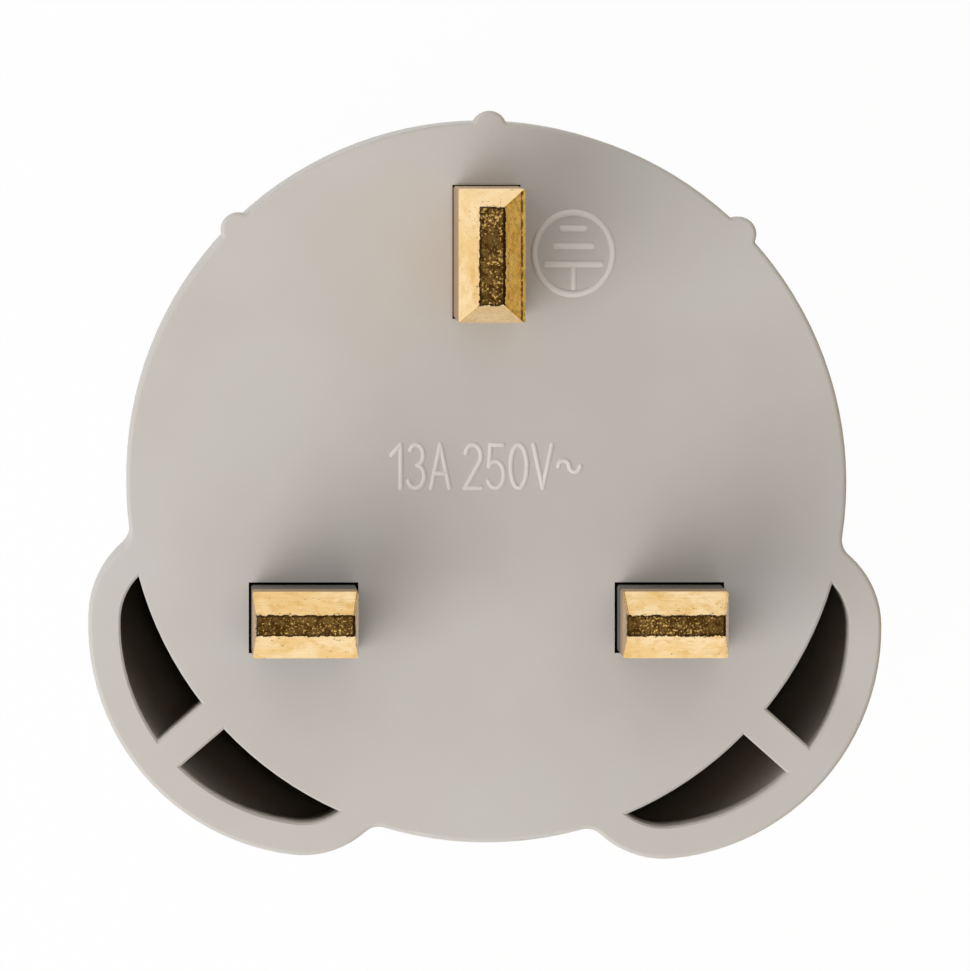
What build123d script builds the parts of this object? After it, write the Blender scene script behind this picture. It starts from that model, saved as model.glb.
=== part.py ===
"""Mains travel adapter: a round moulded body with three flat brass pins on one face
and a round socket well for a two-pin earthed plug on the other.

Frame: millimetres. The rim of the socket well is at Z = 0 and the pins point up, along +Z.
The Z axis is the body's axis, +Y points to the earth pin, and the line pin is at -X.
"""

from build123d import *
import os
from math import cos, radians, sin, sqrt

# Body
body_radius = 21.85       # at the pin face
wall_draft = 0.27         # how much narrower the body is at the socket rim
face_thickness = 3.0      # plate that carries the pins
chamber_height = 18.0     # room for the contacts, between that plate and the well floor
base_wall = 2.0           # wall round the contact chamber
edge_radius = 0.25        # rounding round the pin face
joint_groove = 0.3        # bevel on both mouldings where they meet

# Ears beside the line and neutral pins
ear_angles = (-139.5, -41.7)   # direction of each ear from the body's axis, degrees
ear_depth = 8.55          # how far inside the body's wall the ear's arc has its centre
ear_radius = 14.05
ear_half_width = 11.35
ear_corner_radius = 5.7
ear_root_radius = 1.2     # where the ear's outline leaves the round body
ear_wall = 1.95
ear_web = 2.05            # web that divides the ear's pocket in two
pocket_bevel = 0.12       # broken edge round each pocket's mouth
ear_lip = 4.5             # straight height of the ear below the pin face
ear_height = 18.0         # from the pin face to where the ear has run into the body

# Key ribs on the wall
rib_angles = (44.5, 89.5, 134.5)
rib_radius = 1.05
rib_depth = 0.35          # how far inside the body's wall the rib's arc has its centre
rib_root_radius = 0.2
rib_base_width = 2.4      # including the root rounding on both sides
rib_length = 5.0
rib_run_out = 4.0         # height over which the rib slopes back into the wall

# Pins
pin_pitch = 22.2          # line to neutral, and their row to the earth pin
pin_row_y = -8.2
flat_pin_width = 6.35
flat_pin_thickness = 4.0
flat_pin_length = 17.7    # from the pin face to the tip
flat_pin_land = (5.9, 1.27)
earth_pin_width = 4.0
earth_pin_depth = 8.0
earth_pin_length = 22.7
earth_pin_land = (1.57, 5.9)
pin_tip_height = 2.1      # height of the bevels at the tip
pin_corner = 0.15
sleeve_length = 9.5       # insulated length beyond the pin face
sleeve_wall = 0.6
pin_flange_margin = 0.7   # flange beyond the pin on each side
pin_flange_height = 1.2
pin_fit = 0.05            # play between a pin and its sleeve, and round a flange
pin_gap = 0.15            # gap round a pin where it leaves the face
rivet_radius = 1.3        # spigot on a pin's tail that is headed over
rivet_head_radius = 1.9
rivet_head_height = 0.6
rivet_fit = 0.03
earth_tail = 4.0          # square tail that reaches the earth strap

# Socket well, for a two-pin plug with earth clips
rim_wall = 2.08           # wall between the well and the outside, at the rim
well_depth = 17.5
well_floor = 2.5
well_mouth_radius = 0.9
guide_rib_width = 5.0
guide_rib_depth = 2.5
guide_rib_start = 1.5     # distance of the guide rib from the rim
contact_pitch = 19.0
entry_radius = 2.6
entry_bevel = 0.5
spigot_height = 3.0       # ring on the socket housing that enters the base housing
spigot_wall = 1.3
spigot_fit = 0.1

# Line and neutral contacts
contact_bore = 2.4
contact_wall = 0.8
contact_gap = 0.3         # from the well floor to the mouth of the contact
contact_slot = 0.6
contact_slot_length = 9.0
ring_wall = 0.55
ring_height = 3.0
ring_start = 1.2          # from the mouth of the contact to its ring
ring_fit = 0.04
ring_split = 0.8

# Metal strips
strap_thickness = 0.8
strap_margin = 0.2        # how far a strap's round end reaches beyond the contact tube
clip_sheet = 0.6
clip_bend = 0.6           # centreline radius of the bends in the earth clips

# Fuse, 6.35 by 25.4
fuse_radius = 3.175
fuse_length = 25.4
fuse_cap_length = 6.0
fuse_cap_wall = 0.3
fuse_body_fit = 0.03
fuse_end_room = 1.97      # from the corner of the fuse's end to the chamber's wall
fuse_clip_length = 5.0
fuse_clip_opening = 100   # degrees left open on the socket side
fuse_clip_fit = 0.02

# Earth strap and clips
earth_strap_width = 5.0
earth_foot_margin = 2.0   # how far a clip's foot runs on beyond the axis of its rivet
earth_slot_fit = 0.3
earth_clip_wall_gap = 0.1
earth_clip_top = 3.2      # distance of the clip's fold from the rim
earth_clip_reach = 2.6    # how far the spring stands into the well

# Contact carrier
carrier_height = 6.0      # from the well floor's back to the carrier
carrier_thickness = 2.0
carrier_fit = 0.3
cradle_width = 6.4
cradle_thickness = 1.5
cradle_spacing = 6.0
cradle_fit = 0.1

# Screws
screw_places = ((-11.5, 9.5), (11.5, 9.5))
screw_radius = 1.45
screw_length = 17.0
screw_head_radius = 2.75
screw_head_height = 1.3
screw_tip = 1.6
screw_cross = (3.0, 0.7, 0.7)   # length, width and depth of the driver recess
screw_clearance = 0.15
screw_pilot_fit = 0.02
boss_radius = 3.1
post_places = ((-7.5, -14.5), (7.5, -14.5))
post_radius = 2.4

# Heights and places that follow from the driving dimensions
parting_z = well_depth + well_floor
chamber_top = parting_z + chamber_height
face_z = chamber_top + face_thickness
strap_z = chamber_top - strap_thickness
flange_top = chamber_top + pin_flange_height
carrier_z = parting_z + carrier_height
carrier_top = carrier_z + carrier_thickness
rim_radius = body_radius - wall_draft
well_radius = rim_radius - rim_wall
chamber_radius = body_radius - base_wall
ear_centre = body_radius - ear_depth
rib_centre = body_radius - rib_depth
contact_outer = contact_bore + contact_wall
contact_mouth = parting_z + contact_gap
earth_y = pin_row_y + pin_pitch
fuse_clip_bore = fuse_radius + fuse_clip_fit
fuse_z = strap_z - fuse_clip_bore
fuse_cap_offset = (fuse_length - fuse_cap_length) / 2
fuse_centre_y = fuse_length / 2 - sqrt((chamber_radius - fuse_end_room) ** 2 - fuse_radius**2)
earth_foot_z = parting_z
earth_strap_z = earth_foot_z + clip_sheet
flat_pin_places = {"line": (-pin_pitch / 2, pin_row_y), "neutral": (pin_pitch / 2, pin_row_y)}
contact_places = {"line": (-contact_pitch / 2, 0), "neutral": (contact_pitch / 2, 0)}
fuse_clip_places = {
    "pin": (0, fuse_centre_y - fuse_cap_offset),
    "contact": (0, fuse_centre_y + fuse_cap_offset),
}

os.makedirs("parts", exist_ok=True)


def save(part, name):
    part.label = name
    export_step(part, f"parts/{name}.step")


# Outline of one ear, turned to its direction
def ear_outline(angle, inset):
    with BuildSketch() as ear:
        with Locations((ear_centre, 0)):
            Circle(ear_radius - inset)
            Rectangle(2 * ear_radius, 2 * (ear_half_width - inset), mode=Mode.INTERSECT)
        outer_corners = ear.vertices().filter_by(lambda corner: corner.X > ear_centre)
        fillet(outer_corners, ear_corner_radius - inset)
    return ear.sketch.rotate(Axis.Z, angle)


# Upright edges on the round wall, where an ear or a rib leaves it, without the wall's own seam on X
def edges_on_wall(part):
    def on_wall(edge):
        middle = edge.center()
        at_seam = abs(middle.Y) < 0.001
        return abs(sqrt(middle.X**2 + middle.Y**2) - body_radius) < 0.001 and not at_seam
    return part.edges().filter_by(Axis.Z).filter_by(on_wall)


# Solid of revolution that limits the ears: straight by the pin face, then swept in to the wall
def ear_envelope(inset, height):
    reach = ear_centre + ear_radius - inset
    lip_z = face_z - ear_lip
    end_z = face_z - height
    sweep = (lip_z - end_z) / 2
    with BuildPart() as envelope:
        with BuildSketch(Plane.XZ):
            with BuildLine():
                Polyline((0, end_z), (0, face_z), (reach, face_z), (reach, lip_z))
                Bezier(
                    (reach, lip_z),
                    (reach, lip_z - sweep),
                    (body_radius, end_z + sweep),
                    (body_radius, end_z),
                )
                Line((body_radius, end_z), (0, end_z))
            make_face()
        revolve(axis=Axis.Z)
    return envelope.part


def build_ears():
    with BuildPart() as ears:
        with BuildSketch(Plane.XY.offset(face_z - ear_height)):
            Circle(body_radius)
            for angle in ear_angles:
                add(ear_outline(angle, 0))
        extrude(amount=ear_height)
        fillet(edges_on_wall(ears), ear_root_radius)
        add(ear_envelope(0, ear_height), mode=Mode.INTERSECT)
    return ears.part


# Outline of one of the four pockets, between the ear's wall, the round body and the web
def pocket_outline(angle, side, growth):
    web_half = ear_web / 2 - growth
    with BuildSketch() as pocket:
        add(ear_outline(0, ear_wall - growth))
        Circle(body_radius - growth, mode=Mode.SUBTRACT)
        with Locations((0, side * (web_half + ear_half_width))):
            Rectangle(4 * body_radius, 2 * ear_half_width, mode=Mode.INTERSECT)
    return pocket.sketch.rotate(Axis.Z, angle)


def build_pockets():
    depth = ear_height - ear_wall
    with BuildPart() as pockets:
        with BuildSketch(Plane.XY.offset(face_z - depth)):
            for angle in ear_angles:
                for side in (-1, 1):
                    add(pocket_outline(angle, side, 0))
        extrude(amount=depth)
        add(ear_envelope(ear_wall, depth), mode=Mode.INTERSECT)
    return pockets.part


# Broken edges of the pockets' mouths
def build_mouth_bevels():
    with BuildPart() as bevels:
        for angle in ear_angles:
            for side in (-1, 1):
                with BuildSketch(Plane.XY.offset(face_z - pocket_bevel)):
                    add(pocket_outline(angle, side, 0))
                with BuildSketch(Plane.XY.offset(face_z)):
                    add(pocket_outline(angle, side, pocket_bevel))
                loft(ruled=True)
    return bevels.part


# Key ribs: half-round, with a sloped run-out at the lower end
def build_key_ribs():
    rib_end = face_z - rib_length
    top_reach = rib_centre + rib_radius
    with BuildPart() as ribs:
        with BuildSketch(Plane.XY.offset(rib_end)):
            Circle(body_radius)
            for angle in rib_angles:
                with Locations((rib_centre * cos(radians(angle)), rib_centre * sin(radians(angle)))):
                    Circle(rib_radius)
        extrude(amount=rib_length)
        fillet(edges_on_wall(ribs), rib_root_radius)
        with BuildSketch(Plane.XZ):
            with BuildLine():
                Polyline(
                    (0, rib_end),
                    (body_radius, rib_end),
                    (top_reach, rib_end + rib_run_out),
                    (top_reach, face_z),
                    (0, face_z),
                    close=True,
                )
            make_face()
        revolve(axis=Axis.Z, mode=Mode.INTERSECT)
        with BuildSketch(Plane.XY.offset(rib_end)):
            for angle in rib_angles:
                with Locations((rib_centre * cos(radians(angle)), rib_centre * sin(radians(angle)))):
                    Rectangle(2 * rib_radius, rib_base_width, rotation=angle)
        extrude(amount=rib_length, mode=Mode.INTERSECT)
    return ribs.part


ears = build_ears()
key_ribs = build_key_ribs()
pockets = build_pockets()
mouth_bevels = build_mouth_bevels()

# Base housing: pin face, chamber wall, ears, key ribs and screw bosses
with BuildPart() as base_housing:
    with BuildSketch(Plane.XY.offset(parting_z)):
        Circle(body_radius)
    extrude(amount=face_z - ear_height - parting_z)
    chamfer(base_housing.edges().group_by(Axis.Z)[0], joint_groove)
    add(ears)
    add(key_ribs)
    pin_face = base_housing.faces().sort_by(Axis.Z)[-1]
    fillet(pin_face.outer_wire().edges(), edge_radius)
    add(pockets, mode=Mode.SUBTRACT)
    add(mouth_bevels, mode=Mode.SUBTRACT)
    with BuildSketch(Plane.XY.offset(parting_z)):
        Circle(chamber_radius)
    extrude(amount=chamber_top - parting_z, mode=Mode.SUBTRACT)
    with BuildSketch(Plane.XY.offset(carrier_top)):
        with Locations(*screw_places):
            Circle(boss_radius)
            Circle(screw_radius + screw_pilot_fit, mode=Mode.SUBTRACT)
    extrude(amount=chamber_top - carrier_top)
    with BuildSketch(Plane.XY.offset(chamber_top)):
        with Locations(*flat_pin_places.values()):
            Rectangle(
                flat_pin_width + 2 * (pin_flange_margin + pin_fit),
                flat_pin_thickness + 2 * (pin_flange_margin + pin_fit),
            )
        with Locations((0, earth_y)):
            Rectangle(
                earth_pin_width + 2 * (pin_flange_margin + pin_fit),
                earth_pin_depth + 2 * (pin_flange_margin + pin_fit),
            )
    extrude(amount=pin_flange_height, mode=Mode.SUBTRACT)
    with BuildSketch(Plane.XY.offset(chamber_top)):
        with Locations(*flat_pin_places.values()):
            Rectangle(flat_pin_width + 2 * pin_gap, flat_pin_thickness + 2 * pin_gap)
        with Locations((0, earth_y)):
            Rectangle(earth_pin_width + 2 * pin_gap, earth_pin_depth + 2 * pin_gap)
    extrude(amount=face_thickness, mode=Mode.SUBTRACT)
save(base_housing.part, "base_housing")


# Socket housing: rim, well, floor, spigot ring and posts
clip_leg_y = sqrt(well_radius**2 - (earth_strap_width / 2) ** 2) - earth_clip_wall_gap
spigot_outer = chamber_radius - spigot_fit
spigot_top = parting_z + spigot_height

with BuildPart() as socket_housing:
    with BuildSketch(Plane.XZ):
        with BuildLine():
            Polyline(
                (well_radius, 0),
                (rim_radius, 0),
                (body_radius, parting_z),
                (spigot_outer, parting_z),
                (spigot_outer, spigot_top),
                (spigot_outer - spigot_wall, spigot_top),
                (spigot_outer - spigot_wall, parting_z),
                (0, parting_z),
                (0, well_depth),
                (well_radius, well_depth),
                close=True,
            )
        make_face()
    revolve(axis=Axis.Z)
    rim_edges = socket_housing.edges().group_by(Axis.Z)[0]
    fillet(rim_edges, well_mouth_radius)
    shoulder = socket_housing.edges().filter_by(GeomType.CIRCLE)
    shoulder = shoulder.filter_by(lambda edge: abs(edge.radius - body_radius) < 0.001)
    chamfer(shoulder, joint_groove)
    with BuildSketch(Plane.XY.offset(guide_rib_start)):
        with Locations((-well_radius, 0), (well_radius, 0)):
            Rectangle(2 * guide_rib_depth, guide_rib_width)
        Circle((well_radius + rim_radius) / 2, mode=Mode.INTERSECT)
    extrude(amount=well_depth - guide_rib_start)
    with BuildSketch(Plane.XY.offset(parting_z)):
        with Locations(*screw_places):
            Circle(boss_radius)
        with Locations(*post_places):
            Circle(post_radius)
    extrude(amount=carrier_z - parting_z)
    with Locations(Plane.XY.offset(well_depth)):
        with Locations(*contact_places.values()):
            Cylinder(
                entry_radius,
                well_floor,
                align=(Align.CENTER, Align.CENTER, Align.MIN),
                mode=Mode.SUBTRACT,
            )
            Cone(
                entry_radius + entry_bevel,
                entry_radius,
                entry_bevel,
                align=(Align.CENTER, Align.CENTER, Align.MIN),
                mode=Mode.SUBTRACT,
            )
        with Locations(*screw_places):
            Cylinder(
                screw_radius + screw_clearance,
                carrier_z - well_depth,
                align=(Align.CENTER, Align.CENTER, Align.MIN),
                mode=Mode.SUBTRACT,
            )
            Cone(
                screw_head_radius + screw_pilot_fit,
                screw_radius + screw_pilot_fit,
                screw_head_height,
                align=(Align.CENTER, Align.CENTER, Align.MIN),
                mode=Mode.SUBTRACT,
            )
    with BuildSketch(Plane.XY.offset(well_depth)):
        for side in (-1, 1):
            with Locations((0, side * (clip_leg_y - clip_sheet / 2))):
                Rectangle(earth_strap_width + earth_slot_fit, clip_sheet + earth_slot_fit)
    extrude(amount=well_floor, mode=Mode.SUBTRACT)
    with BuildSketch(Plane.XY.offset(parting_z - clip_bend)):
        for side in (-1, 1):
            with Locations((0, side * (clip_leg_y - clip_sheet / 2 - clip_bend))):
                Rectangle(earth_strap_width + earth_slot_fit, clip_sheet + 2 * clip_bend)
    extrude(amount=clip_bend, mode=Mode.SUBTRACT)
    with BuildSketch(Plane.XY.offset(parting_z)):
        Rectangle(earth_strap_width + earth_slot_fit, 2 * spigot_outer)
    extrude(amount=spigot_height, mode=Mode.SUBTRACT)
    with Locations((0, earth_y, parting_z), (0, -earth_y, parting_z)):
        Cylinder(
            rivet_head_radius + rivet_fit,
            2 * rivet_head_height,
            mode=Mode.SUBTRACT,
        )
save(socket_housing.part, "socket_housing")


# Rectangular bar with a flange at the root and bevels at the tip
def build_pin_bar(place, size, land, length, neck_inset, neck_end):
    x, y = place
    width, depth = size
    tip_z = face_z + length
    shoulder_z = tip_z - pin_tip_height
    with BuildPart() as bar:
        with BuildSketch(Plane((x, y, neck_end))):
            RectangleRounded(width, depth, pin_corner)
        extrude(amount=shoulder_z - neck_end)
        with BuildSketch(Plane((x, y, shoulder_z))):
            RectangleRounded(width, depth, pin_corner)
        with BuildSketch(Plane((x, y, tip_z))):
            RectangleRounded(*land, pin_corner)
        loft()
        with BuildSketch(Plane((x, y, chamber_top))):
            Rectangle(width + 2 * pin_flange_margin, depth + 2 * pin_flange_margin)
        extrude(amount=pin_flange_height)
        if neck_inset > 0:
            with BuildSketch(Plane((x, y, flange_top))):
                Rectangle(width - 2 * neck_inset, depth - 2 * neck_inset)
            extrude(amount=neck_end - flange_top)
    return bar.part


# Spigot and its headed end, which hold a strap or a foot against what the pin stands on
def build_rivet(place, top_z, bottom_z):
    x, y = place
    with BuildPart() as rivet:
        with BuildSketch(Plane((x, y, bottom_z))):
            Circle(rivet_radius)
        extrude(amount=top_z - bottom_z)
        with BuildSketch(Plane((x, y, bottom_z - rivet_head_height))):
            Circle(rivet_head_radius)
        extrude(amount=rivet_head_height)
    return rivet.part


# Line and neutral pins, each with an insulating sleeve round its neck
sleeve_end = face_z + sleeve_length
for name, place in flat_pin_places.items():
    with BuildPart() as flat_pin:
        add(build_pin_bar(
            place,
            (flat_pin_width, flat_pin_thickness),
            flat_pin_land,
            flat_pin_length,
            sleeve_wall + pin_fit,
            sleeve_end,
        ))
        add(build_rivet(place, chamber_top, strap_z))
    save(flat_pin.part, f"{name}_pin")

    with BuildPart() as sleeve:
        with BuildSketch(Plane((*place, flange_top))):
            RectangleRounded(flat_pin_width, flat_pin_thickness, pin_corner)
            Rectangle(
                flat_pin_width - 2 * sleeve_wall,
                flat_pin_thickness - 2 * sleeve_wall,
                mode=Mode.SUBTRACT,
            )
        extrude(amount=sleeve_end - flange_top)
    save(sleeve.part, f"{name}_pin_sleeve")

# Earth pin, with a square tail down to the earth strap
earth_strap_top = earth_strap_z + strap_thickness
with BuildPart() as earth_pin:
    add(build_pin_bar(
        (0, earth_y),
        (earth_pin_width, earth_pin_depth),
        earth_pin_land,
        earth_pin_length,
        0,
        flange_top,
    ))
    with BuildSketch(Plane((0, earth_y, earth_strap_top))):
        Rectangle(earth_tail, earth_tail)
    extrude(amount=chamber_top - earth_strap_top)
    add(build_rivet((0, earth_y), earth_strap_top, earth_foot_z))
save(earth_pin.part, "earth_pin")

# Rivet at the other end of the earth strap
with BuildPart() as earth_rivet:
    add(build_rivet((0, -earth_y), earth_strap_top, earth_foot_z))
    with BuildSketch(Plane((0, -earth_y, earth_strap_top))):
        Circle(rivet_head_radius)
    extrude(amount=rivet_head_height)
save(earth_rivet.part, "earth_rivet")

# Earth strap under the well floor, riveted to both clips
with BuildPart() as earth_strap:
    with BuildSketch(Plane.XY.offset(earth_strap_z)):
        SlotCenterToCenter(2 * earth_y, earth_strap_width, rotation=90)
        with Locations((0, earth_y), (0, -earth_y)):
            Circle(rivet_radius + rivet_fit, mode=Mode.SUBTRACT)
    extrude(amount=strap_thickness)
save(earth_strap.part, "earth_strap")

# Earth clips: a foot on the well floor's back, a leg along the wall and a folded spring
for name, side in (("upper", 1), ("lower", -1)):
    foot_mid = earth_foot_z + clip_sheet / 2
    leg_y = clip_leg_y - clip_sheet / 2
    spring_y = leg_y - earth_clip_reach
    fold_y = leg_y - earth_clip_reach / 2
    middle_z = (earth_clip_top + well_depth) / 2
    with BuildPart() as earth_clip:
        with BuildSketch(Plane.YZ):
            with BuildLine():
                FilletPolyline(
                    (side * (earth_y - earth_foot_margin), foot_mid),
                    (side * leg_y, foot_mid),
                    (side * leg_y, earth_clip_top),
                    (side * fold_y, earth_clip_top),
                    (side * spring_y, middle_z),
                    (side * fold_y, well_depth - earth_clip_top),
                    radius=clip_bend,
                )
            trace(line_width=clip_sheet)
        extrude(amount=earth_strap_width / 2, both=True)
        with Locations((0, side * earth_y, foot_mid)):
            Cylinder(rivet_radius + rivet_fit, 2 * clip_sheet, mode=Mode.SUBTRACT)
    save(earth_clip.part, f"earth_clip_{name}")


# Slotted contact tubes and the spring rings round them
for name, place in contact_places.items():
    tube_length = strap_z - contact_mouth
    with BuildPart() as contact:
        with BuildSketch(Plane((*place, contact_mouth))):
            Circle(contact_outer)
            Circle(contact_bore, mode=Mode.SUBTRACT)
        extrude(amount=tube_length)
        with BuildSketch(Plane((*place, contact_mouth))):
            Rectangle(3 * contact_outer, contact_slot)
            Rectangle(contact_slot, 3 * contact_outer)
        extrude(amount=contact_slot_length, mode=Mode.SUBTRACT)
    save(contact.part, f"{name}_contact")

    with BuildPart() as contact_ring:
        with BuildSketch(Plane((*place, contact_mouth + ring_start))):
            Circle(contact_outer + ring_fit + ring_wall)
            Circle(contact_outer + ring_fit, mode=Mode.SUBTRACT)
            with Locations((0, contact_outer)):
                Rectangle(ring_split, 2 * contact_wall, mode=Mode.SUBTRACT)
        extrude(amount=ring_height)
    save(contact_ring.part, f"{name}_contact_ring")

# Neutral strap, from the neutral pin to its contact
with BuildPart() as neutral_strap:
    with BuildSketch(Plane.XY.offset(strap_z)):
        with Locations(flat_pin_places["neutral"], contact_places["neutral"]):
            Circle(contact_outer + strap_margin)
        make_hull()
        with Locations(flat_pin_places["neutral"]):
            Circle(rivet_radius + rivet_fit, mode=Mode.SUBTRACT)
    extrude(amount=strap_thickness)
save(neutral_strap.part, "neutral_strap")

# Fuse clips: a strap that reaches the pin or the contact, and a ring that grips the fuse cap
clip_outer = fuse_clip_bore + clip_sheet
for name, anchor in (("pin", flat_pin_places["line"]), ("contact", contact_places["line"])):
    clip_place = fuse_clip_places[name]
    with BuildPart() as fuse_clip:
        with BuildSketch(Plane.XY.offset(strap_z)):
            with Locations(anchor):
                Circle(contact_outer + strap_margin)
            with Locations(clip_place):
                Rectangle(fuse_clip_length, fuse_clip_length)
            make_hull()
            if name == "pin":
                with Locations(anchor):
                    Circle(rivet_radius + rivet_fit, mode=Mode.SUBTRACT)
        extrude(amount=strap_thickness)
        half_opening = radians(fuse_clip_opening / 2)
        lip = 2 * clip_outer
        with BuildSketch(Plane((0, clip_place[1], fuse_z), x_dir=(1, 0, 0), z_dir=(0, -1, 0))):
            Circle(clip_outer)
            Circle(fuse_clip_bore, mode=Mode.SUBTRACT)
            with BuildLine():
                Polyline(
                    (0, 0),
                    (-lip * sin(half_opening), -lip * cos(half_opening)),
                    (lip * sin(half_opening), -lip * cos(half_opening)),
                    close=True,
                )
            make_face(mode=Mode.SUBTRACT)
        extrude(amount=fuse_clip_length / 2, both=True)
    save(fuse_clip.part, f"fuse_clip_{name}_end")

# Fuse: a ceramic tube with a cap at each end
ceramic_radius = fuse_radius - fuse_cap_wall - fuse_body_fit
with BuildPart() as fuse_body:
    with BuildSketch(Plane((0, fuse_centre_y, fuse_z), x_dir=(1, 0, 0), z_dir=(0, -1, 0))):
        Circle(ceramic_radius)
    extrude(amount=fuse_length / 2 - fuse_cap_wall, both=True)
save(fuse_body.part, "fuse_body")

for name, side in (("pin", -1), ("contact", 1)):
    cap_end_y = fuse_centre_y + side * fuse_length / 2
    with BuildPart() as fuse_cap:
        with BuildSketch(Plane((0, cap_end_y, fuse_z), x_dir=(1, 0, 0), z_dir=(0, -side, 0))):
            Circle(fuse_radius)
        extrude(amount=fuse_cap_length)
        cap_inside_y = cap_end_y - side * fuse_cap_wall
        with BuildSketch(Plane((0, cap_inside_y, fuse_z), x_dir=(1, 0, 0), z_dir=(0, -side, 0))):
            Circle(ceramic_radius + fuse_body_fit)
        extrude(amount=fuse_cap_length, mode=Mode.SUBTRACT)
    save(fuse_cap.part, f"fuse_cap_{name}_end")


# Contact carrier: a plate that holds the contact tubes, with cradles under the fuse
with BuildPart() as contact_carrier:
    with BuildSketch(Plane.XY.offset(carrier_z)):
        Circle(chamber_radius - carrier_fit)
        with Locations(*contact_places.values()):
            Circle(contact_outer + ring_fit, mode=Mode.SUBTRACT)
        with Locations(*screw_places):
            Circle(screw_radius + screw_clearance, mode=Mode.SUBTRACT)
        with Locations((0, earth_y)):
            Rectangle(earth_tail + 2 * pin_fit, earth_tail + 2 * pin_fit, mode=Mode.SUBTRACT)
    extrude(amount=carrier_thickness)
    with BuildSketch(Plane.XY.offset(carrier_top)):
        with Locations((0, fuse_centre_y - cradle_spacing / 2), (0, fuse_centre_y + cradle_spacing / 2)):
            Rectangle(cradle_width, cradle_thickness)
    extrude(amount=fuse_z - carrier_top)
    with BuildSketch(Plane((0, fuse_centre_y, fuse_z), x_dir=(1, 0, 0), z_dir=(0, -1, 0))):
        Circle(ceramic_radius + cradle_fit)
    extrude(amount=cradle_spacing, both=True, mode=Mode.SUBTRACT)
save(contact_carrier.part, "contact_carrier")


# Countersunk screws that hold the two housings together
for name, place in zip(("left", "right"), screw_places):
    with BuildPart() as housing_screw:
        with BuildSketch(Plane((*place, 0), x_dir=(1, 0, 0), z_dir=(0, -1, 0))):
            with BuildLine():
                Polyline(
                    (0, well_depth),
                    (screw_head_radius, well_depth),
                    (screw_radius, well_depth + screw_head_height),
                    (screw_radius, well_depth + screw_length - screw_tip),
                    (0, well_depth + screw_length),
                    close=True,
                )
            make_face()
        revolve(axis=Axis((*place, 0), (0, 0, 1)))
        with BuildSketch(Plane((*place, well_depth))):
            Rectangle(screw_cross[0], screw_cross[1])
            Rectangle(screw_cross[1], screw_cross[0])
        extrude(amount=screw_cross[2], mode=Mode.SUBTRACT)
    save(housing_screw.part, f"housing_screw_{name}")
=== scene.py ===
"""Looks of a mains travel adapter that stands on its socket rim, pins up.

Everything is in metres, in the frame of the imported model: +Z up along the pins, +Y to the earth pin.
"""

import math

import bpy
from mathutils import Matrix, Vector


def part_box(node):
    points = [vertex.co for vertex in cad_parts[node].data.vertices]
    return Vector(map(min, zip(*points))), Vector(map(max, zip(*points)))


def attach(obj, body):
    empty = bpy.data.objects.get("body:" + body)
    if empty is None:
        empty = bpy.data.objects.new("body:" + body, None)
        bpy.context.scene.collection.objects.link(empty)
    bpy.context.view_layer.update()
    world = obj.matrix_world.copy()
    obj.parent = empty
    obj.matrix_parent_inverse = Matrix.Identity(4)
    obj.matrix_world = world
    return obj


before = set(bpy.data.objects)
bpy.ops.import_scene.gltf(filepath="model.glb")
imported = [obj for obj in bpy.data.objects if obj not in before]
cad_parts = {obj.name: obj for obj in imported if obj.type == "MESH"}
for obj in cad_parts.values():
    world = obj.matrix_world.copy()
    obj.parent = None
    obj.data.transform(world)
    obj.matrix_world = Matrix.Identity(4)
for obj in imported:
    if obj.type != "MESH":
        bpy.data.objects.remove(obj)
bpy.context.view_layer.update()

MM = 0.001

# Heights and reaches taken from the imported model
face_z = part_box("base_housing")[1][2]
flange_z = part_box("line_pin_sleeve")[0][2]

# Photograph's view: a long lens, almost straight down on the pin face
CAMERA_DISTANCE = 1378 * MM
CAMERA_OFFSET = (-22.3 * MM, 30.2 * MM)
CAMERA_AIM = (-0.09 * MM, -0.176 * MM)
SENSOR_WIDTH_MM = 36
PHOTO_WIDTH_PX = 970
FACE_PX_PER_MM = 16.49

# The brass pins' tips, in millimetres
FLAT_LAND = (5.96, 1.27)        # width and depth of the sawn land
EARTH_LAND = (1.57, 5.9)
LAND_RAGGED = 0.06              # how far the land's edge wanders to either side
LAND_BORDER = (-0.17, -0.06)    # dark border: starts at the first distance from the edge, full at the second
RIGHT_END_BAND = 0.21                 # width of the dark band at a land's right-hand end
SCUFF_LINE = 1.78               # dark line on the earth pin's right-hand bevel, from the pin's middle
SCUFF_LINE_HALF = (0.04, 0.09)  # the line is full up to the first distance, gone at the second
SCUFF_RIM_HIGHLIGHT = (0.07, 0.12)        # painted highlight on the rim outside the line: starts at the first distance, full at the second
GAP_ALLOWANCE = 0.05            # painted shade in the gap round a pin reaches this far above face and below flange

# Parts of a unit normal that tell how a face of a pin lies
SLOPED_FROM = 0.02              # upward part: more than this, and the face isn't upright
FACES_RIGHT = 0.3               # rightward part: more than this, and the face looks right

# Pockets in the ears, in millimetres
BODY_RADIUS = 21.85             # of the round body, without ears and ribs
POCKET_BEYOND = 0.05            # only what lies further than this outside the body counts
POCKET_TOP = 0.2                # and only what lies further than this below the pin face
POCKET_PAINTED_LIGHT_DEPTHS = (9, 6)      # painted light: none at the first depth, full at the second
POCKET_PAINTED_SHADE_DEPTHS = (10, 4.5)     # painted shade: full at the first depth, none at the second
INWARD_SHARE = 0.1              # a face that looks outward by less than this share counts as inward

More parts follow.
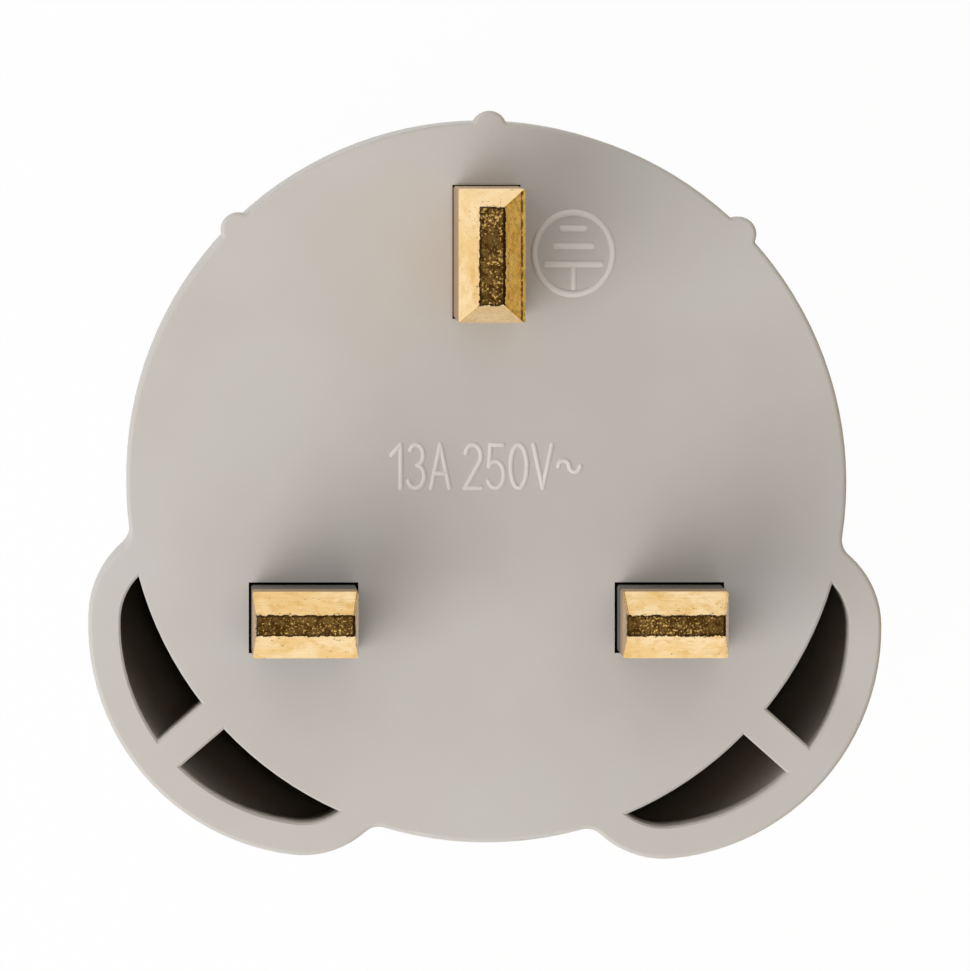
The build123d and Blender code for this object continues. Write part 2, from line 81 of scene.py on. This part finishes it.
# Raised marks on the pin face, in millimetres from the body's axis
MARK_STROKE = 0.215
MARK_SINK = 0.05           # a stroke's middle lies this far below the face
EARTH_MARK_CENTRE = (5.27, 13.9)
EARTH_MARK_RING = (2.38, 2.48)
EARTH_MARK_BARS = ((0.70, 1.52), (1.13, 0.44), (1.67, -0.66))
EARTH_MARK_STEM = (-0.9, -2.05)
RATING_CENTRE = (-0.03, 0.99)
RATING_WIDTH = 11.45
RATING_HEIGHT = 2.62
RATING_STROKE = 0.165
STROKE_STEP = 0.008        # strokes that meet differ in height by this
GLYPH_GAP = 0.18           # share of a glyph's height

# Thin flash in the earth pin's slot, in millimetres
FLASH_SLOT = (2.15, 4.15)  # half width and half depth of the slot
FLASH_WIDTH = 0.085
FLASH_HEIGHT = 0.4
FLASH_DROP = 0.02          # its top below the pin face

# Studio, in metres; brightness and power in Blender's own units
FLOOR_SIZE = 4.0
FLOOR_WHITE = 0.97         # share of plain white that the camera and reflections see
CEILING_LEVEL = 0.6        # brightness of the room overhead
WALL_LEVEL = 1.0           # and at eye level
CARD_LENGTH = 0.4
SHADE_CARD = (0.12, 0.16)  # distance and height: shades the right-hand side
SHADE_TAN = (0.2, 0.17, 0.1)
LOW_CARD = (0.08, 0.045)   # seen by the earth pin's right-hand bevel
LOW_TAN = (0.60, 0.45, 0.09)
KEY_PLACE = (-0.28, -0.24, 0.50)
KEY_SIZE = 0.45
KEY_POWER = 1.45


def srgb(red, green, blue):
    """Linear colour of an 8-bit screen colour."""
    def linear(value):
        value /= 255
        return value / 12.92 if value <= 0.04045 else ((value + 0.055) / 1.055) ** 2.4
    return (linear(red), linear(green), linear(blue), 1)


PLASTIC_COLOUR = srgb(203, 198, 193)
PLASTIC_DARKER = srgb(201, 194, 186)
# Marks paler than the face: painted highlight on the raised strokes
MARK_HIGHLIGHT_COLOUR = srgb(232, 228, 222)
MARK_HIGHLIGHT_DARKER = srgb(224, 219, 212)
SPECK_COLOUR = srgb(120, 108, 92)
BRASS_COLOUR = srgb(246, 207, 142)
# Painted highlight on brass, then deeper brass for its own streaks and blotches and for painted reflection at
# the flat pins' ends
BRASS_HIGHLIGHT = srgb(254, 224, 173)
BRASS_DEEP = srgb(224, 176, 92)
# Painted shade on the pins' upright sides
BRASS_SIDE_SHADE = srgb(184, 146, 92)
# Dark and middle tones of the cut metal; on the sawn land they are painted reflection of a dark room overhead
CUT_DARK = srgb(74, 49, 18)
CUT_MIDDLE = srgb(112, 84, 42)
CUT_BRIGHT = srgb(224, 184, 108)
CUT_BORDER = srgb(40, 25, 8)
# Painted shade in the gap round each pin
GAP_SHADE_COLOUR = srgb(16, 13, 10)
# Painted shade deep in the ears' pockets, then painted light near their mouths
POCKET_PAINTED_SHADE = srgb(130, 118, 101)
POCKET_PAINTED_LIGHT = srgb(250, 247, 240)
SLEEVE_COLOUR = srgb(46, 43, 40)

# How tightly streaks repeat along X, Y and Z
ALONG_X = (700, 8000, 8000)
ALONG_Z = (6000, 6000, 500)
ACROSS = (3200, 5600, 3200)


# Shader helpers

class Shader:
    """One material's node tree, with short calls to add and join nodes."""

    def __init__(self, name):
        self.material = bpy.data.materials.new(name)
        self.material.use_nodes = True
        self.tree = self.material.node_tree
        self.bsdf = self.tree.nodes["Principled BSDF"]

    def add(self, kind, **settings):
        node = self.tree.nodes.new(kind)
        for key, value in settings.items():
            setattr(node, key, value)
        return node

    def join(self, source, target):
        self.tree.links.new(source, target)

    def place(self):
        """Coordinates of the surface in the model's own frame, in metres."""
        return self.add("ShaderNodeTexCoord").outputs["Object"]

    def stretched(self, scale):
        mapping = self.add("ShaderNodeMapping")
        mapping.inputs["Scale"].default_value = scale
        self.join(self.place(), mapping.inputs["Vector"])
        return mapping.outputs["Vector"]

    def noise(self, vector, scale, detail=3.0, roughness=0.55):
        noise = self.add("ShaderNodeTexNoise")
        noise.inputs["Scale"].default_value = scale
        noise.inputs["Detail"].default_value = detail
        noise.inputs["Roughness"].default_value = roughness
        self.join(vector, noise.inputs["Vector"])
        return noise.outputs["Fac"]

    def ramp(self, source, low, high, start=0.0, end=1.0):
        """Maps low..high of the source to start..end, held at both ends."""
        ramp = self.add("ShaderNodeMapRange")
        ramp.inputs["From Min"].default_value = low
        ramp.inputs["From Max"].default_value = high
        ramp.inputs["To Min"].default_value = start
        ramp.inputs["To Max"].default_value = end
        self.join(source, ramp.inputs["Value"])
        return ramp.outputs["Result"]

    def blend(self, factor, first, second):
        """Mixes two colours, each a fixed colour or a node's output."""
        mix = self.add("ShaderNodeMix", data_type="RGBA")
        self.join(factor, mix.inputs[0])
        for socket, colour in ((mix.inputs[6], first), (mix.inputs[7], second)):
            if isinstance(colour, tuple):
                socket.default_value = colour
            else:
                self.join(colour, socket)
        return mix.outputs[2]

    def math(self, operation, *values):
        node = self.add("ShaderNodeMath", operation=operation)
        for socket, value in zip(node.inputs, values):
            if isinstance(value, (int, float)):
                socket.default_value = value
            else:
                self.join(value, socket)
        return node.outputs[0]

    def parts(self, vector):
        """The X, Y and Z of a vector, by those names."""
        split = self.add("ShaderNodeSeparateXYZ")
        self.join(vector, split.inputs[0])
        return split.outputs

    def facing(self):
        """The surface's own direction, without any bump."""
        return self.add("ShaderNodeNewGeometry").outputs["True Normal"]

    def bump(self, height, strength, distance, normal=None):
        bump = self.add("ShaderNodeBump")
        bump.inputs["Strength"].default_value = strength
        bump.inputs["Distance"].default_value = distance
        self.join(height, bump.inputs["Height"])
        if normal:
            self.join(normal, bump.inputs["Normal"])
        return bump.outputs["Normal"]

    def set(self, **sockets):
        for name, value in sockets.items():
            self.bsdf.inputs[name.replace("_", " ")].default_value = value


def inside_ears(shader):
    """Shares of painted light near the mouths of the ears' pockets, and of painted shade further down."""
    flat_place = shader.stretched((1 / MM, 1 / MM, 0))
    outward = shader.add("ShaderNodeVectorMath", operation="DOT_PRODUCT")
    shader.join(flat_place, outward.inputs[0])
    shader.join(shader.facing(), outward.inputs[1])
    reach = shader.add("ShaderNodeVectorMath", operation="LENGTH")
    shader.join(flat_place, reach.inputs[0])
    inward = shader.math("LESS_THAN", outward.outputs["Value"], INWARD_SHARE * BODY_RADIUS)
    beyond_body = shader.math("GREATER_THAN", reach.outputs["Value"], BODY_RADIUS + POCKET_BEYOND)
    height = shader.parts(shader.place())["Z"]
    below_face = shader.math("LESS_THAN", height, face_z - POCKET_TOP * MM)
    inside = shader.math("MULTIPLY", shader.math("MULTIPLY", inward, beyond_body), below_face)
    painted_light_low, painted_light_high = (face_z - depth * MM for depth in POCKET_PAINTED_LIGHT_DEPTHS)
    painted_shade_low, painted_shade_high = (face_z - depth * MM for depth in POCKET_PAINTED_SHADE_DEPTHS)
    painted_light = shader.math("MULTIPLY", inside, shader.ramp(height, painted_light_low, painted_light_high, 0, 1))
    painted_shade = shader.math("MULTIPLY", inside, shader.ramp(height, painted_shade_low, painted_shade_high, 1, 0))
    return painted_light, painted_shade


def specks(shader):
    """Share of dark specks: about one cell in twenty has one."""
    cells = shader.add("ShaderNodeTexVoronoi")
    cells.inputs["Scale"].default_value = 330
    shader.join(shader.place(), cells.inputs["Vector"])
    near_middle = shader.ramp(cells.outputs["Distance"], 0.025, 0.05, 1, 0)
    red = shader.add("ShaderNodeSeparateColor")
    shader.join(cells.outputs["Color"], red.inputs["Color"])
    chosen = shader.math("GREATER_THAN", red.outputs[0], 0.95)
    return shader.math("MULTIPLY", near_middle, chosen)


def plastic_material(name, colour, darker):
    """Satin moulded plastic: cloudy tone, fine grain and a few dark specks."""
    shader = Shader(name)
    cloud = shader.noise(shader.place(), 130, detail=2)
    tone = shader.blend(shader.ramp(cloud, 0.35, 0.65), colour, darker)
    tone = shader.blend(specks(shader), tone, SPECK_COLOUR)
    # Painted light near the pockets' mouths, painted shade deeper in them
    painted_light, painted_shade = inside_ears(shader)
    tone = shader.blend(painted_light, tone, POCKET_PAINTED_LIGHT)
    tone = shader.blend(painted_shade, tone, POCKET_PAINTED_SHADE)
    shader.join(tone, shader.bsdf.inputs["Base Color"])

    grain = shader.noise(shader.place(), 5200, detail=2)
    waves = shader.noise(shader.place(), 260, detail=1)
    rough = shader.ramp(grain, 0.2, 0.8, 0.42, 0.56)
    shader.join(rough, shader.bsdf.inputs["Roughness"])
    soft = shader.bump(waves, 0.12, 0.00008)
    shader.join(shader.bump(grain, 0.10, 0.00002, soft), shader.bsdf.inputs["Normal"])
    shader.set(IOR=1.5)
    return shader.material


class PinPlace:
    """Distances on a pin seen from above, in millimetres; the line and neutral pins mirror each other."""

    def __init__(self, shader, pin, land):
        low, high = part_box(pin)
        middle_x, middle_y = ((low[axis] + high[axis]) / 2 / MM for axis in (0, 1))
        place = shader.parts(shader.stretched((1 / MM, 1 / MM, 1 / MM)))
        from_middle = shader.math("SUBTRACT", shader.math("ABSOLUTE", place["X"]), abs(middle_x))
        self.height = place["Z"]
        self.rightward = shader.math("MULTIPLY", from_middle, shader.math("SIGN", place["X"]))
        self.away_x = shader.math("ABSOLUTE", from_middle)
        away_y = shader.math("ABSOLUTE", shader.math("SUBTRACT", place["Y"], middle_y))
        beyond_x = shader.math("SUBTRACT", self.away_x, land[0] / 2)
        beyond_y = shader.math("SUBTRACT", away_y, land[1] / 2)
        self.beyond_land = shader.math("MAXIMUM", beyond_x, beyond_y)
        self.beyond_end = beyond_x if land[0] > land[1] else beyond_y


class BrassNoise:
    """The uneven patterns that a brass pin's parts share."""

    def __init__(self, shader, streaks):
        self.streak = shader.noise(shader.stretched(streaks), 1.0, detail=3, roughness=0.55)
        self.patch = shader.noise(shader.place(), 520, detail=2)
        self.blotch = shader.noise(shader.place(), 1500, detail=3)
        self.pits = shader.noise(shader.place(), 3800, detail=2)
        self.mottle = shader.noise(shader.place(), 2600, detail=2)
        self.flecks = shader.noise(shader.place(), 6900, detail=3, roughness=0.6)


def drawn_brass(shader, where, noise, end_reflection):
    """Colour of the brass: painted highlight patches, streaks, painted reflection at the ends, and pits that
    gather at the land.
    """
    # Pale patches: painted highlight
    tone = shader.blend(shader.ramp(noise.patch, 0.42, 0.62), BRASS_COLOUR, BRASS_HIGHLIGHT)
    tone = shader.blend(shader.ramp(noise.streak, 0.45, 0.7, 0, 0.16), tone, BRASS_DEEP)
    tone = shader.blend(shader.ramp(noise.blotch, 0.5, 0.7, 0, 0.55), tone, BRASS_DEEP)
    # Painted reflection at the pins' ends: darker on the flat pins, paler on the earth pin
    wander = shader.ramp(noise.blotch, 0.3, 0.7, -0.3, 0.3)
    near_end = shader.math("ADD", where.beyond_end, wander)
    tone = shader.blend(shader.ramp(near_end, -0.4, 0.3, 0, 0.5), tone, end_reflection)
    near_land = shader.ramp(where.beyond_land, 0.0, 0.5, 0.07, 0)
    pitted = shader.math("ADD", noise.pits, near_land)
    return shader.blend(shader.ramp(pitted, 0.68, 0.74, 0, 0.7), tone, CUT_MIDDLE)


def scuffed(shader, where, noise, facing, tone):
    """Wear on bevels that face right, with a painted highlight on their outer rim; the earth pin's has a
    dark, broken line near its outer edge.
    """
    sloped = shader.math("GREATER_THAN", facing["Z"], SLOPED_FROM)
    to_right = shader.math("MULTIPLY", shader.math("GREATER_THAN", facing["X"], FACES_RIGHT), sloped)
    # Painted highlight on the rounded rim outside the line
    highlight_start, highlight_full = (SCUFF_LINE + width for width in SCUFF_RIM_HIGHLIGHT)
    rim_highlight = shader.ramp(where.away_x, highlight_start, highlight_full, 0, 0.7)
    tone = shader.blend(shader.math("MULTIPLY", to_right, rim_highlight), tone, BRASS_HIGHLIGHT)
    worn = shader.ramp(noise.mottle, 0.48, 0.62, 0, 0.32)
    tone = shader.blend(shader.math("MULTIPLY", to_right, worn), tone, CUT_MIDDLE)
    off_line = shader.math("ABSOLUTE", shader.math("SUBTRACT", where.away_x, SCUFF_LINE))
    line = shader.math("MULTIPLY", to_right, shader.ramp(off_line, *SCUFF_LINE_HALF, 1, 0))
    broken_line = shader.math("MULTIPLY", line, shader.ramp(noise.mottle, 0.38, 0.52, 0, 0.9))
    return shader.blend(broken_line, tone, CUT_DARK)


def sawn_land(shader, where, noise, land):
    """Share of the sawn land, and its colour: dark by painted reflection of a dark room overhead, with bright
    flecks, a darker border and a dark band at its right-hand end.
    """
    uneven = shader.noise(shader.place(), 3400, detail=3)
    edge = shader.math("ADD", where.beyond_land, shader.ramp(uneven, 0.3, 0.7, -LAND_RAGGED, LAND_RAGGED))
    share = shader.ramp(edge, -0.02, 0.02, 1, 0)
    clustered = shader.math("ADD", noise.flecks, shader.ramp(noise.patch, 0.35, 0.65, -0.05, 0.05))
    # Dark tone of the land: painted reflection of a dark room overhead, with flecks of brighter brass
    tone = shader.blend(shader.ramp(noise.mottle, 0.4, 0.6), CUT_DARK, CUT_MIDDLE)
    tone = shader.blend(shader.ramp(clustered, 0.57, 0.67), tone, CUT_BRIGHT)
    tone = shader.blend(shader.ramp(edge, *LAND_BORDER, 0, 0.9), tone, CUT_BORDER)
    # Dark band at the land's right-hand end
    right_band_start = land[0] / 2 - RIGHT_END_BAND
    right_band = shader.ramp(where.rightward, right_band_start, right_band_start + 0.05, 0, 0.85)
    return share, shader.blend(right_band, tone, CUT_BORDER)


def brass_material(name, pin, land, streaks, end_reflection):
    """Drawn brass, rougher on its upright sides and darker there by painted shade, with a rough sawn land at
    the tip, dark by painted reflection.
    """
    shader = Shader(name)
    where = PinPlace(shader, pin, land)
    noise = BrassNoise(shader, streaks)
    facing = shader.parts(shader.facing())
    upright = shader.ramp(facing["Z"], 0.02, 0.08, 0.9, 0)
    tone = drawn_brass(shader, where, noise, end_reflection)
    # Painted shade on the upright sides, which mirror the shaded face round the pin
    tone = shader.blend(upright, tone, BRASS_SIDE_SHADE)
    tone = scuffed(shader, where, noise, facing, tone)
    land_part, cut_tone = sawn_land(shader, where, noise, land)
    tone = shader.blend(land_part, tone, cut_tone)

    # Painted shade in the gap round the pin, where it leaves the face, down to the flange
    gap_middle = (face_z + flange_z) / 2 / MM
    gap_half = (face_z - flange_z) / 2 / MM
    gap_shade = shader.math("COMPARE", where.height, gap_middle, gap_half + GAP_ALLOWANCE)
    shader.join(shader.blend(gap_shade, tone, GAP_SHADE_COLOUR), shader.bsdf.inputs["Base Color"])

    polished = shader.ramp(noise.streak, 0.3, 0.7, 0.20, 0.32)
    smooth = shader.math("MAXIMUM", polished, shader.math("MULTIPLY", upright, 0.42))
    dull_part = shader.math("MAXIMUM", land_part, gap_shade)
    rough = shader.math("MAXIMUM", smooth, shader.math("MULTIPLY", dull_part, 0.5))
    shader.join(rough, shader.bsdf.inputs["Roughness"])

    relief = shader.math("MULTIPLY", noise.flecks, land_part)
    soft = shader.bump(noise.blotch, 0.35, 0.00005)
    fine = shader.bump(noise.streak, 0.12, 0.00002, soft)
    shader.join(shader.bump(relief, 0.8, 0.00006, fine), shader.bsdf.inputs["Normal"])
    shader.set(Metallic=1.0)
    return shader.material


def metal_material(name, colour, roughness, streaks):
    """Plain sheet or turned metal with fine streaks."""
    shader = Shader(name)
    streak = shader.noise(shader.stretched(streaks), 1.0, detail=3)
    darker = tuple(0.8 * part for part in colour[:3]) + (1,)
    tone = shader.blend(shader.ramp(streak, 0.35, 0.7, 0, 0.7), colour, darker)
    shader.join(tone, shader.bsdf.inputs["Base Color"])
    shader.join(shader.ramp(streak, 0.3, 0.7, roughness, roughness + 0.12), shader.bsdf.inputs["Roughness"])
    shader.join(shader.bump(streak, 0.15, 0.00002), shader.bsdf.inputs["Normal"])
    shader.set(Metallic=1.0)
    return shader.material


def dull_material(name, colour, roughness):
    """Plain dull surface with a little cloud and grain, for the sleeves, the carrier and the ceramic."""
    shader = Shader(name)
    cloud = shader.noise(shader.place(), 900, detail=3)
    lighter = tuple(min(1, 1.25 * part + 0.004) for part in colour[:3]) + (1,)
    shader.join(shader.blend(shader.ramp(cloud, 0.4, 0.7), colour, lighter), shader.bsdf.inputs["Base Color"])
    shader.join(shader.ramp(cloud, 0.3, 0.7, roughness, roughness + 0.1), shader.bsdf.inputs["Roughness"])
    shader.join(shader.bump(cloud, 0.15, 0.00003), shader.bsdf.inputs["Normal"])
    return shader.material


plastic = plastic_material("housing_plastic", PLASTIC_COLOUR, PLASTIC_DARKER)
# Face plastic with a painted highlight, for the raised marks
highlit_mark_plastic = plastic_material("highlit_mark_plastic", MARK_HIGHLIGHT_COLOUR, MARK_HIGHLIGHT_DARKER)
# The flat pins' ends carry darker painted reflection, the earth pin's ends a painted highlight
flat_brass = brass_material("flat_pin_brass", "line_pin", FLAT_LAND, ALONG_X, BRASS_DEEP)
earth_brass = brass_material("earth_pin_brass", "earth_pin", EARTH_LAND, ACROSS, BRASS_HIGHLIGHT)
sheet_brass = metal_material("sheet_brass", srgb(214, 178, 116), 0.3, ALONG_X)
nickel = metal_material("nickel_strip", srgb(196, 193, 186), 0.28, ALONG_Z)
steel = metal_material("steel", srgb(172, 172, 174), 0.32, ALONG_X)
sleeve_plastic = dull_material("sleeve_plastic", SLEEVE_COLOUR, 0.4)
carrier_plastic = dull_material("carrier_plastic", srgb(206, 203, 196), 0.5)
ceramic = dull_material("fuse_ceramic", srgb(226, 222, 212), 0.6)

NODE_MATERIALS = {
    "base_housing": plastic,
    "socket_housing": plastic,
    "line_pin": flat_brass,
    "neutral_pin": flat_brass,
    "earth_pin": earth_brass,
    "line_pin_sleeve": sleeve_plastic,
    "neutral_pin_sleeve": sleeve_plastic,
    "line_contact": sheet_brass,
    "neutral_contact": sheet_brass,
    "line_contact_ring": steel,
    "neutral_contact_ring": steel,
    "neutral_strap": sheet_brass,
    "earth_strap": sheet_brass,
    "earth_rivet": sheet_brass,
    "earth_clip_upper": nickel,
    "earth_clip_lower": nickel,
    "fuse_body": ceramic,
    "fuse_cap_pin_end": nickel,
    "fuse_cap_contact_end": nickel,
    "fuse_clip_pin_end": sheet_brass,
    "fuse_clip_contact_end": sheet_brass,
    "contact_carrier": carrier_plastic,
    "housing_screw_left": steel,
    "housing_screw_right": steel,
}

for node_name, material in NODE_MATERIALS.items():
    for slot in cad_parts[node_name].material_slots:
        slot.material = material


# Raised marks on the pin face

def arc(centre, radii, start, end, steps=14):
    """Points of an elliptical arc, angles in degrees."""
    points = []
    for step in range(steps + 1):
        angle = math.radians(start + (end - start) * step / steps)
        points.append((centre[0] + radii[0] * math.cos(angle), centre[1] + radii[1] * math.sin(angle)))
    return points


def rounded(points, radius):
    """The stroke's points with a shrinking thickness added beyond both ends: ((x, y), share) pairs."""
    shaped = [(point, 1.0) for point in points]
    for end, neighbour in ((points[-1], points[-2]), (points[0], points[1])):
        direction = (Vector(end) - Vector(neighbour)).normalized()
        for angle in (30, 60, 85):
            reach = radius * math.sin(math.radians(angle))
            tip = (end[0] + reach * direction[0], end[1] + reach * direction[1])
            shaped.append((tip, math.cos(math.radians(angle))))
        shaped.reverse()
    return shaped


def raised_strokes(name, strokes, radius):
    """Half-round ridges on the pin face that follow the given strokes, in millimetres."""
    curve = bpy.data.curves.new(name, "CURVE")
    curve.dimensions = "3D"
    curve.bevel_depth = radius * MM
    curve.bevel_resolution = 3
    curve.use_fill_caps = True
    for index, (points, closed) in enumerate(strokes):
        height = face_z - (MARK_SINK + STROKE_STEP * (index % 3)) * MM
        shaped = [(point, 1.0) for point in points] if closed else rounded(points, radius)
        spline = curve.splines.new("POLY")
        spline.points.add(len(shaped) - 1)
        for point, ((x, y), share) in zip(spline.points, shaped):
            point.co = (x * MM, y * MM, height, 1)
            point.radius = share
        spline.use_cyclic_u = closed
    ridge = bpy.data.objects.new(name, curve)
    bpy.context.collection.objects.link(ridge)
    curve.materials.append(highlit_mark_plastic)
    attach(ridge, "root")


def earth_mark():
    """Protective earth sign: three bars and a stem in a ring."""
    x, y = EARTH_MARK_CENTRE
    strokes = [(arc((x, y), EARTH_MARK_RING, 0, 360, 48)[:-1], True)]
    for half_width, rise in EARTH_MARK_BARS:
        strokes.append(([(x - half_width, y + rise), (x + half_width, y + rise)], False))
    stem_top, stem_bottom = EARTH_MARK_STEM
    strokes.append(([(x, y + stem_top), (x, y + stem_bottom)], False))
    raised_strokes("earth_mark", strokes, MARK_STROKE)


# Glyphs as strokes in a cell one unit high, each stroke without sharp corners: width, then strokes
GLYPHS = {
    "1": (0.30, [[(0.0, 0.76), (0.26, 1.0)], [(0.26, 1.0), (0.26, 0.0)]]),
    "3": (0.46, [arc((0.22, 0.76), (0.20, 0.24), 150, -80), arc((0.21, 0.27), (0.24, 0.27), 75, -155)]),
    "A": (0.52, [[(0.0, 0.0), (0.26, 1.0)], [(0.26, 1.0), (0.52, 0.0)], [(0.12, 0.34), (0.40, 0.34)]]),
    "2": (0.46, [arc((0.23, 0.74), (0.22, 0.26), 165, -30) + [(0.0, 0.0)], [(0.0, 0.0), (0.46, 0.0)]]),
    "5": (0.46, [
        [(0.42, 1.0), (0.08, 1.0)],
        [(0.08, 1.0), (0.04, 0.5)],
        arc((0.22, 0.31), (0.24, 0.31), 140, -150),
    ]),
    "0": (0.48, [arc((0.24, 0.5), (0.23, 0.5), 0, 360, 28)]),
    "V": (0.52, [[(0.0, 1.0), (0.26, 0.0)], [(0.26, 0.0), (0.52, 1.0)]]),
    "~": (0.62, [
        arc((0.155, 0.5), (0.155, 0.13), 180, 0, 8) + arc((0.465, 0.5), (0.155, 0.13), 180, 360, 8)[1:],
    ]),
    " ": (0.08, []),
}


def rating_mark(text):
    """A plain standard rating, centred where the photograph has its line of figures."""
    width = sum(GLYPHS[letter][0] for letter in text) + GLYPH_GAP * (len(text) - 1)
    width_scale = RATING_WIDTH / width
    cursor = -width / 2
    strokes = []
    for letter in text:
        advance, shapes = GLYPHS[letter]
        for shape in shapes:
            points = []
            for x, y in shape:
                points.append((
                    RATING_CENTRE[0] + width_scale * (cursor + x),
                    RATING_CENTRE[1] + RATING_HEIGHT * (y - 0.5),
                ))
            strokes.append((points, False))
        cursor += advance + GLYPH_GAP
    raised_strokes("rating_mark", strokes, RATING_STROKE)


earth_mark()
rating_mark("13A 250V~")


def slot_flash():
    """Frame of flash in the earth pin's slot, which leaves only a fine gap round the pin."""
    low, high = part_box("earth_pin")
    centre_y = (low[1] + high[1]) / 2
    corners = []
    for height in (FLASH_DROP + FLASH_HEIGHT, FLASH_DROP):
        for inset in (0, FLASH_WIDTH):
            half_x, half_y = ((half - inset) * MM for half in FLASH_SLOT)
            for side_x, side_y in ((-1, -1), (1, -1), (1, 1), (-1, 1)):
                corners.append((side_x * half_x, centre_y + side_y * half_y, face_z - height * MM))
    sides = []
    for first in range(4):
        second = (first + 1) % 4
        for a, b in ((8, 12), (12, 4), (4, 0), (0, 8)):
            sides.append((a + first, a + second, b + second, b + first))
    mesh = bpy.data.meshes.new("slot_flash")
    mesh.from_pydata(corners, [], sides)
    mesh.materials.append(plastic)
    flash = bpy.data.objects.new("slot_flash", mesh)
    bpy.context.collection.objects.link(flash)
    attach(flash, "root")


slot_flash()


# Floor, light and camera

def white_floor():
    """Floor that takes the light, yet is plain white to the camera and in reflections."""
    bpy.ops.mesh.primitive_plane_add(size=FLOOR_SIZE, location=(0, 0, 0))
    floor = bpy.context.object
    floor.name = "floor"
    shader = Shader("white_floor")
    shader.set(Base_Color=(0.85, 0.85, 0.85, 1), Roughness=0.9)
    white = shader.add("ShaderNodeEmission")
    white.inputs["Color"].default_value = (1, 1, 1, 1)
    rays = shader.add("ShaderNodeLightPath").outputs
    seen = shader.math("MAXIMUM", rays["Is Camera Ray"], rays["Is Glossy Ray"])
    seen_through = shader.math("MAXIMUM", seen, rays["Is Transmission Ray"])
    mix = shader.add("ShaderNodeMixShader")
    shader.join(shader.math("MULTIPLY", seen_through, FLOOR_WHITE), mix.inputs[0])
    shader.join(shader.bsdf.outputs[0], mix.inputs[1])
    shader.join(white.outputs[0], mix.inputs[2])
    shader.join(mix.outputs[0], shader.tree.nodes["Material Output"].inputs["Surface"])
    floor.data.materials.append(shader.material)


def aimed(location, target):
    """Rotation that looks from location to target with +Y as up."""
    backward = (Vector(location) - Vector(target)).normalized()
    right = Vector((0, 1, 0)).cross(backward).normalized()
    upward = backward.cross(right)
    return Matrix((right, upward, backward)).transposed().to_euler()


def key_light():
    """Large soft white lamp at the lower left of the picture."""
    data = bpy.data.lights.new("key", "AREA")
    data.shape = "DISK"
    data.size = KEY_SIZE
    data.energy = KEY_POWER
    lamp = bpy.data.objects.new("key", data)
    lamp.location = KEY_PLACE
    lamp.rotation_euler = aimed(KEY_PLACE, (0, 0, face_z))
    bpy.context.collection.objects.link(lamp)


def world_light():
    """White room that is darker overhead than at eye level, and plain white to the camera."""
    world = bpy.data.worlds.new("studio")
    bpy.context.scene.world = world
    world.use_nodes = True
    tree = world.node_tree
    background = tree.nodes["Background"]
    background.inputs["Color"].default_value = (1, 1, 1, 1)
    direction = tree.nodes.new("ShaderNodeSeparateXYZ")
    tree.links.new(tree.nodes.new("ShaderNodeTexCoord").outputs["Generated"], direction.inputs[0])
    level = tree.nodes.new("ShaderNodeMapRange")
    level.inputs["To Min"].default_value = WALL_LEVEL
    level.inputs["To Max"].default_value = CEILING_LEVEL
    tree.links.new(direction.outputs["Z"], level.inputs["Value"])
    path = tree.nodes.new("ShaderNodeLightPath")
    seen = tree.nodes.new("ShaderNodeMath")
    seen.operation = "MAXIMUM"
    tree.links.new(level.outputs["Result"], seen.inputs[0])
    tree.links.new(path.outputs["Is Camera Ray"], seen.inputs[1])
    tree.links.new(seen.outputs[0], background.inputs["Strength"])


def tan_card(name, place, colour):
    """Upright card on the right-hand side, unseen by the camera."""
    distance, height = place
    bpy.ops.mesh.primitive_plane_add(size=1, location=(distance, 0, height / 2))
    card = bpy.context.object
    card.name = name
    card.rotation_euler = (math.radians(90), 0, math.radians(90))
    card.scale = (CARD_LENGTH, height, 1)
    card.visible_camera = False
    shader = Shader(name)
    shader.set(Base_Color=(*colour, 1), Roughness=0.9)
    card.data.materials.append(shader.material)


def photo_camera():
    """Camera at the photograph's place, scaled so that the pin face has its size in pixels."""
    data = bpy.data.cameras.new("camera")
    data.sensor_fit = "HORIZONTAL"
    data.sensor_width = SENSOR_WIDTH_MM
    focal_px = FACE_PX_PER_MM / MM * CAMERA_DISTANCE
    data.lens = focal_px * SENSOR_WIDTH_MM / PHOTO_WIDTH_PX
    data.clip_end = 20
    camera = bpy.data.objects.new("camera", data)
    camera.location = (*CAMERA_OFFSET, face_z + CAMERA_DISTANCE)
    camera.rotation_euler = aimed(camera.location, (*CAMERA_AIM, face_z))
    bpy.context.collection.objects.link(camera)
    bpy.context.scene.camera = camera


white_floor()
world_light()
tan_card("shade_card", SHADE_CARD, SHADE_TAN)
tan_card("low_card", LOW_CARD, LOW_TAN)
key_light()
photo_camera()
bpy.context.scene.view_settings.view_transform = "Standard"
